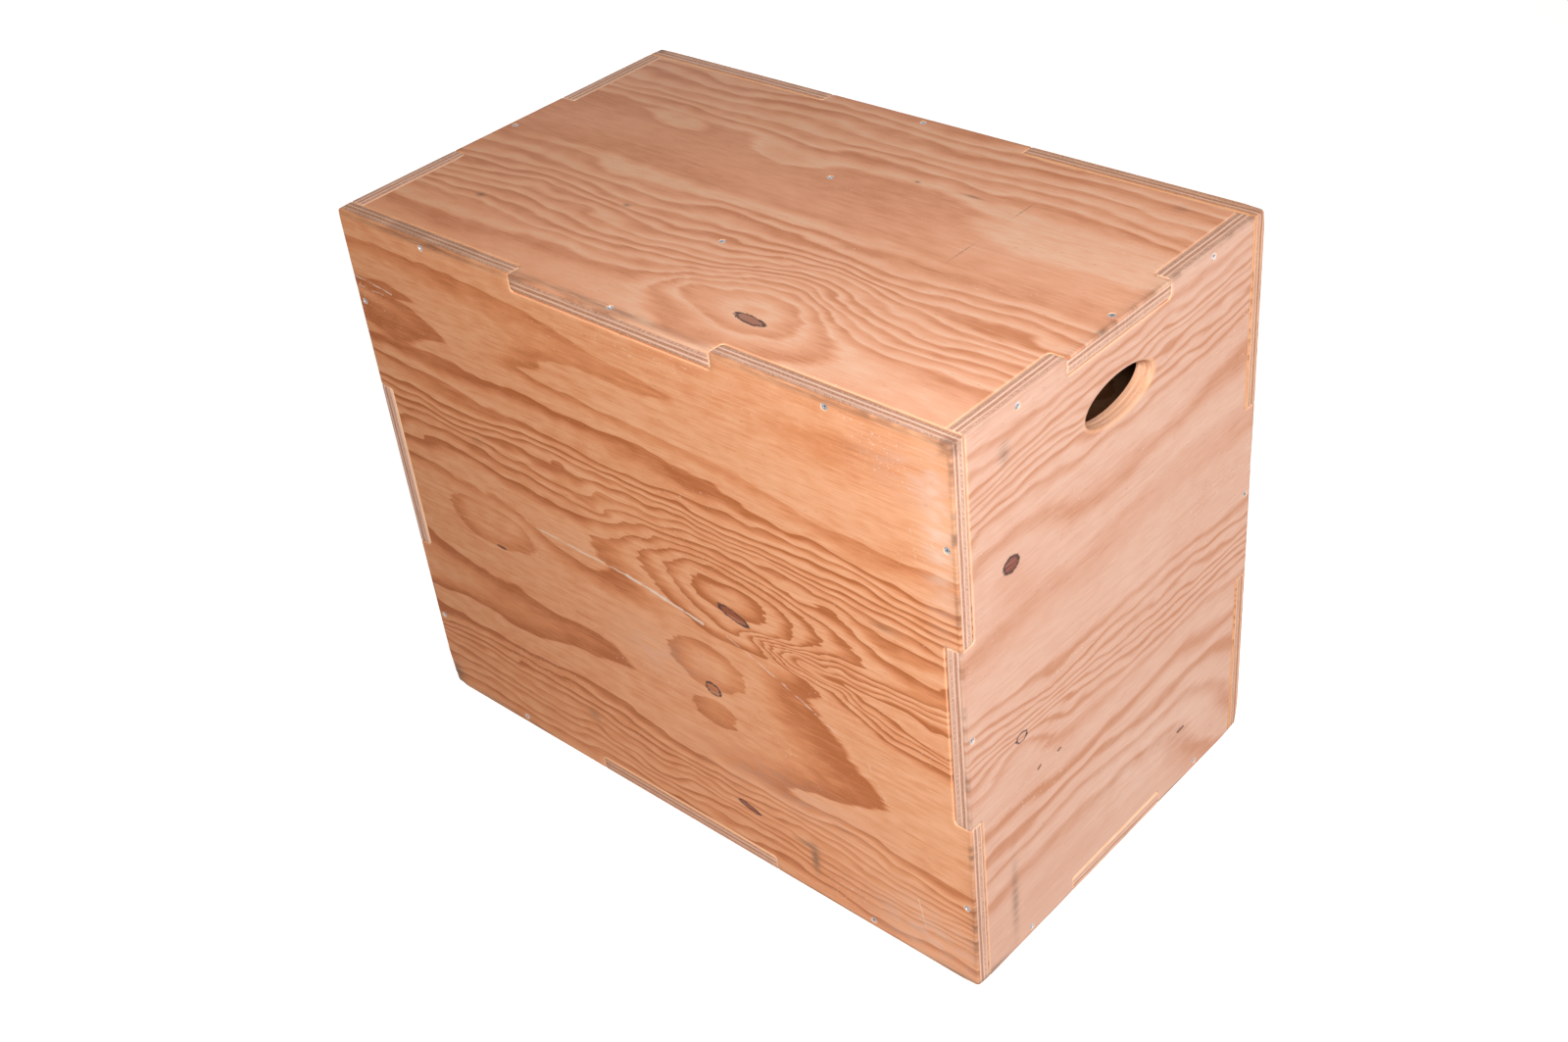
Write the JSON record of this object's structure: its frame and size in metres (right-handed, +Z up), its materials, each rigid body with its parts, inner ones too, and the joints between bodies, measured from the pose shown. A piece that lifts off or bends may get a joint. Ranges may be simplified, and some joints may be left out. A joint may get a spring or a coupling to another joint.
{
  "type": "plyo box",
  "caption": "Wooden jump box of finger-jointed, screwed plywood boards with an oval hand-hole in each end; turned over, it stands at three heights for box jumps and step-ups.",
  "frame": {"origin": "middle of the footprint, on the surface that the box stands on", "axes": "+X along the length towards the right end, +Y across the depth from front to back, +Z up"},
  "size_m": [0.762, 0.457, 0.61],
  "materials": {
    "plywood": "sanded softwood plywood with an orange-tan grain, sealed to a dull satin and scuffed by use",
    "screw_steel": "bright zinc-plated steel, dulled"
  },
  "bodies": {
    "root": {"front_panel": "plywood", "back_panel": "plywood", "right_end_panel": "plywood", "left_end_panel": "plywood", "top_panel": "plywood", "bottom_panel": "plywood", "centre_brace": "plywood", "front_panel_screws": "screw_steel", "back_panel_screws": "screw_steel", "right_end_panel_screws": "screw_steel", "left_end_panel_screws": "screw_steel", "top_panel_screws": "screw_steel", "bottom_panel_screws": "screw_steel"}
  },
  "joints": []
}
